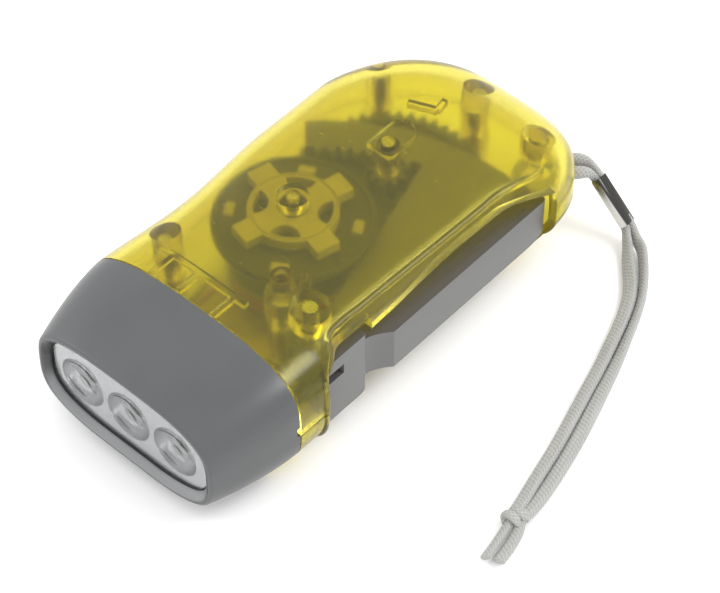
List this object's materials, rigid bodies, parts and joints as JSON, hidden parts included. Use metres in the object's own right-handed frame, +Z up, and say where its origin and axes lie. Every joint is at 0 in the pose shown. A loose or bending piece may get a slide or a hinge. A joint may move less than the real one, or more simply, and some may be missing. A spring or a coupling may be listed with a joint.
{
  "type": "squeeze dynamo torch",
  "caption": "Squeeze-lever dynamo torch: translucent housing, grey lamp head with a window, hinged side lever geared to a flywheel generator, and a wrist strap",
  "frame": {"origin": "centre of the torch's footprint on the surface it lies on, measured without the strap", "axes": "+Z up, the lamp faces -Y, the squeeze lever is on the +X side"},
  "size_m": [0.0927, 0.1098, 0.0294],
  "materials": {
    "shell_yellow": "translucent yellow, glossy moulded",
    "head_grey": "satin moulded grey",
    "window_clear": "clear moulded window",
    "reflector_silver": "vacuum-silvered plastic",
    "board_green": "green circuit board",
    "slide_black": "black moulded",
    "wire_red": "red insulation",
    "wire_black": "black insulation",
    "led_clear": "clear lamp epoxy",
    "screw_steel": "plated self-tapping screw",
    "lever_grey": "satin moulded grey",
    "pin_steel": "ground steel pin",
    "spring_steel": "spring wire",
    "gear_dark": "dark moulded gear",
    "pole_steel": "pressed steel",
    "spool_dark": "dark moulded spool",
    "winding_copper": "enamelled copper wire",
    "magnet_dark": "ferrite magnet",
    "flywheel_dark": "dark moulded disc",
    "spider_pale": "pale moulded plastic",
    "strap_grey": "woven cord",
    "clip_chrome": "crimped chromed band"
  },
  "bodies": {
    "housing": {"top_shell": "shell_yellow", "bottom_shell": "shell_yellow", "head_shell": "head_grey", "window_lens": "window_clear", "reflector": "reflector_silver", "led_board": "board_green", "lead_wire_1": "wire_red", "lead_wire_2": "wire_black", "led_1": "led_clear", "led_2": "led_clear", "led_3": "led_clear", "case_screw_1": "screw_steel", "case_screw_2": "screw_steel", "case_screw_3": "screw_steel", "case_screw_4": "screw_steel", "lever_pin": "pin_steel", "gear_axle": "pin_steel", "return_spring": "spring_steel", "lower_pole_plate": "pole_steel", "upper_pole_plate": "pole_steel", "coil_spool": "spool_dark", "coil_winding": "winding_copper", "strap_loop": "strap_grey", "strap_strand_inner": "strap_grey", "strap_strand_outer": "strap_grey", "strap_knot": "strap_grey", "strap_end_1": "strap_grey", "strap_end_2": "strap_grey", "strap_clip": "clip_chrome"},
    "lever": {"squeeze_lever": "lever_grey"},
    "drive": {"drive_gear": "gear_dark"},
    "ratchet": {"ratchet_pinion": "gear_dark"},
    "rotor": {"flywheel_disc": "flywheel_dark", "flywheel_spider": "spider_pale", "pawl_ring": "gear_dark", "rotor_magnet": "magnet_dark", "rotor_shaft": "pin_steel"},
    "lock": {"lock_slide": "slide_black"}
  },
  "joints": [
    {"name": "lever_squeeze", "type": "hinge", "parent": "housing", "child": "lever", "pos_m": [0.0143, -0.01875, 0.0147], "axis": [0, 0, -1], "range_deg": [0, 20]},
    {"name": "drive_spin", "type": "hinge", "parent": "housing", "child": "drive", "pos_m": [-0.00238, 0.02153, 0.0147], "axis": [0, 0, -1], "range_deg": [-1, 263.2]},
    {"name": "ratchet_spin", "type": "hinge", "parent": "housing", "child": "ratchet", "pos_m": [-0.00646, -0.0009, 0.0147], "axis": [0, 0, -1], "range_deg": [-1400.5, 1]},
    {"name": "flywheel_spin", "type": "hinge", "parent": "housing", "child": "rotor", "pos_m": [-0.00646, -0.0009, 0.0147], "axis": [0, 0, 1], "continuous": true},
    {"name": "lock_travel", "type": "slide", "parent": "housing", "child": "lock", "axis": [0, -1, 0], "range_m": [0, 0.0025]}
  ],
  "couplings": [
    {"joint": "drive_spin", "follows": "lever_squeeze", "ratio": 13.111},
    {"joint": "ratchet_spin", "follows": "lever_squeeze", "ratio": -69.926}
  ]
}
